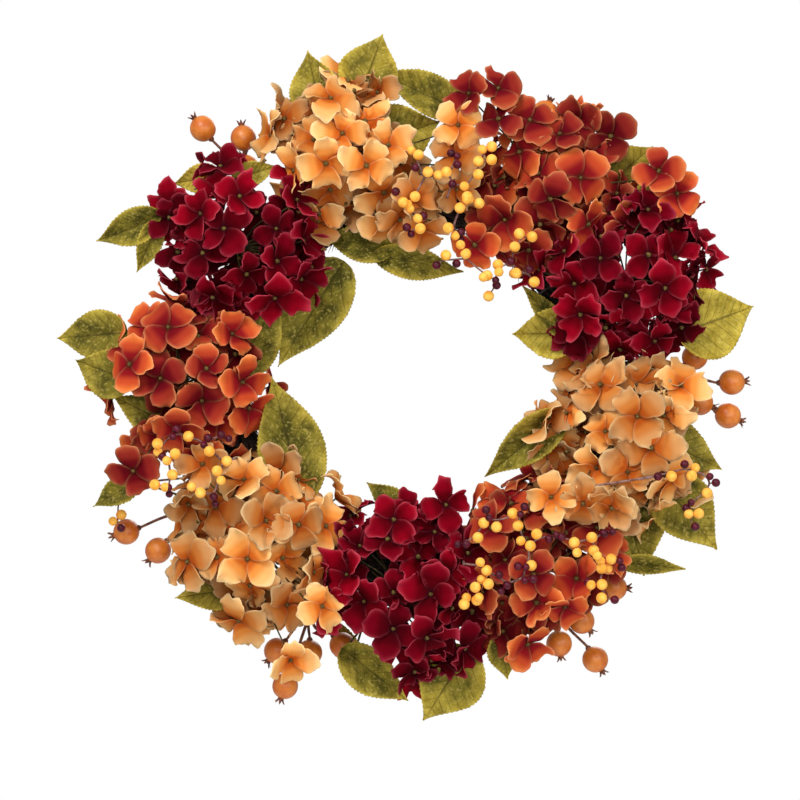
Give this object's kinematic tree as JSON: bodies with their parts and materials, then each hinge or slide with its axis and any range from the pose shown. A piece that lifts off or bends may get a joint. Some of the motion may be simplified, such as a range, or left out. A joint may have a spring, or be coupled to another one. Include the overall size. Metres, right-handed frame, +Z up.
{
  "type": "door wreath",
  "caption": "Round door wreath of hydrangea heads in gold, rust and burgundy with leaves, rose hips and berry sprays wired to a ring of dark vines, with a hanging ring at the top",
  "frame": {"origin": "the centre of the hanger ring's hole, from which the wreath hangs", "axes": "+Z up, +X to the viewer's right, +Y into the door, so the wreath faces -Y"},
  "size_m": [0.6097, 0.137, 0.5992],
  "materials": {
    "vine": "rough bark",
    "binding_wire": "matt",
    "hanger_metal": "satin",
    "gold_petal": "matt cloth",
    "rust_petal": "matt cloth",
    "burgundy_petal": "matt cloth",
    "flower_stem": "matt",
    "leaf": "matt cloth",
    "rose_hip": "satin",
    "hip_stem": "matt",
    "berry_stem": "matt",
    "yellow_berry": "matt",
    "burgundy_berry": "satin"
  },
  "bodies": {
    "wreath": {"base_vines": "vine", "base_binding_wires": "binding_wire", "stem_tie_wires": "binding_wire", "hanger_band": "binding_wire", "gold_top_petals": "gold_petal", "gold_top_stem": "flower_stem", "gold_top_leaves": "leaf", "rust_top_right_petals": "rust_petal", "rust_top_right_stem": "flower_stem", "rust_top_right_leaves": "leaf", "burgundy_right_petals": "burgundy_petal", "burgundy_right_stem": "flower_stem", "burgundy_right_leaves": "leaf", "gold_right_petals": "gold_petal", "gold_right_stem": "flower_stem", "gold_right_leaves": "leaf", "rust_bottom_right_petals": "rust_petal", "rust_bottom_right_stem": "flower_stem", "rust_bottom_right_leaves": "leaf", "burgundy_bottom_petals": "burgundy_petal", "burgundy_bottom_stem": "flower_stem", "burgundy_bottom_leaves": "leaf", "gold_bottom_left_petals": "gold_petal", "gold_bottom_left_stem": "flower_stem", "gold_bottom_left_leaves": "leaf", "rust_left_petals": "rust_petal", "rust_left_stem": "flower_stem", "rust_left_leaves": "leaf", "burgundy_top_left_petals": "burgundy_petal", "burgundy_top_left_stem": "flower_stem", "burgundy_top_left_leaves": "leaf"},
    "hanger": {"hanger_ring": "hanger_metal"},
    "hips_top_left": {"hips_top_left_stems": "hip_stem", "hips_top_left_hips": "rose_hip"},
    "hips_top": {"hips_top_stems": "hip_stem", "hips_top_hips": "rose_hip"},
    "hips_right": {"hips_right_stems": "hip_stem", "hips_right_hips": "rose_hip"},
    "hips_bottom_right": {"hips_bottom_right_stems": "hip_stem", "hips_bottom_right_hips": "rose_hip"},
    "hips_bottom_left": {"hips_bottom_left_stems": "hip_stem", "hips_bottom_left_hips": "rose_hip"},
    "hips_left": {"hips_left_stems": "hip_stem", "hips_left_hips": "rose_hip"},
    "berries_top": {"berries_top_stems": "berry_stem", "berries_top_yellow": "yellow_berry", "berries_top_burgundy": "burgundy_berry"},
    "berries_bottom_right": {"berries_bottom_right_stems": "berry_stem", "berries_bottom_right_yellow": "yellow_berry", "berries_bottom_right_burgundy": "burgundy_berry"},
    "berries_right": {"berries_right_stems": "berry_stem", "berries_right_yellow": "yellow_berry", "berries_right_burgundy": "burgundy_berry"},
    "berries_left": {"berries_left_stems": "berry_stem", "berries_left_yellow": "yellow_berry", "berries_left_burgundy": "burgundy_berry"},
    "berries_far_left": {"berries_far_left_stems": "berry_stem", "berries_far_left_yellow": "yellow_berry", "berries_far_left_burgundy": "burgundy_berry"}
  },
  "joints": [
    {"name": "hanger_swing", "type": "hinge", "parent": "wreath", "child": "hanger", "pos_m": [0, 0, -0.0159], "axis": [-1, 0, 0], "range_deg": [-60, 120]},
    {"name": "hips_top_left_bend", "type": "hinge", "parent": "wreath", "child": "hips_top_left", "pos_m": [-0.11819, -0.022, -0.05365], "axis": [0, 1, 0], "range_deg": [-8, 8]},
    {"name": "hips_top_bend", "type": "hinge", "parent": "wreath", "child": "hips_top", "pos_m": [0.08817, -0.022, -0.03378], "axis": [0, 1, 0], "range_deg": [-8, 8]},
    {"name": "hips_right_bend", "type": "hinge", "parent": "wreath", "child": "hips_right", "pos_m": [0.18777, -0.022, -0.20288], "axis": [0, 1, 0], "range_deg": [-8, 8]},
    {"name": "hips_bottom_right_bend", "type": "hinge", "parent": "wreath", "child": "hips_bottom_right", "pos_m": [0.10772, -0.022, -0.35344], "axis": [0, 1, 0], "range_deg": [-8, 8]},
    {"name": "hips_bottom_left_bend", "type": "hinge", "parent": "wreath", "child": "hips_bottom_left", "pos_m": [-0.07338, -0.022, -0.37247], "axis": [0, 1, 0], "range_deg": [-8, 8]},
    {"name": "hips_left_bend", "type": "hinge", "parent": "wreath", "child": "hips_left", "pos_m": [-0.16098, -0.022, -0.29632], "axis": [0, 1, 0], "range_deg": [-8, 8]},
    {"name": "berries_top_bend", "type": "hinge", "parent": "wreath", "child": "berries_top", "pos_m": [0.03389, -0.0435, -0.04016], "axis": [0.9781, 0, -0.2079], "range_deg": [-5, 5]},
    {"name": "berries_bottom_right_bend", "type": "hinge", "parent": "wreath", "child": "berries_bottom_right", "pos_m": [0.04766, -0.0435, -0.35548], "axis": [-0.9563, 0, -0.2924], "range_deg": [-5, 5]},
    {"name": "berries_right_bend", "type": "hinge", "parent": "wreath", "child": "berries_right", "pos_m": [0.13352, -0.0435, -0.29309], "axis": [-0.5736, 0, -0.8192], "range_deg": [-5, 5]},
    {"name": "berries_left_bend", "type": "hinge", "parent": "wreath", "child": "berries_left", "pos_m": [-0.14891, -0.0435, -0.2659], "axis": [-0.4067, 0, 0.9135], "range_deg": [-5, 5]},
    {"name": "berries_far_left_bend", "type": "hinge", "parent": "wreath", "child": "berries_far_left", "pos_m": [-0.16626, -0.039, -0.27363], "axis": [0, 1, 0], "range_deg": [-8, 8]}
  ]
}
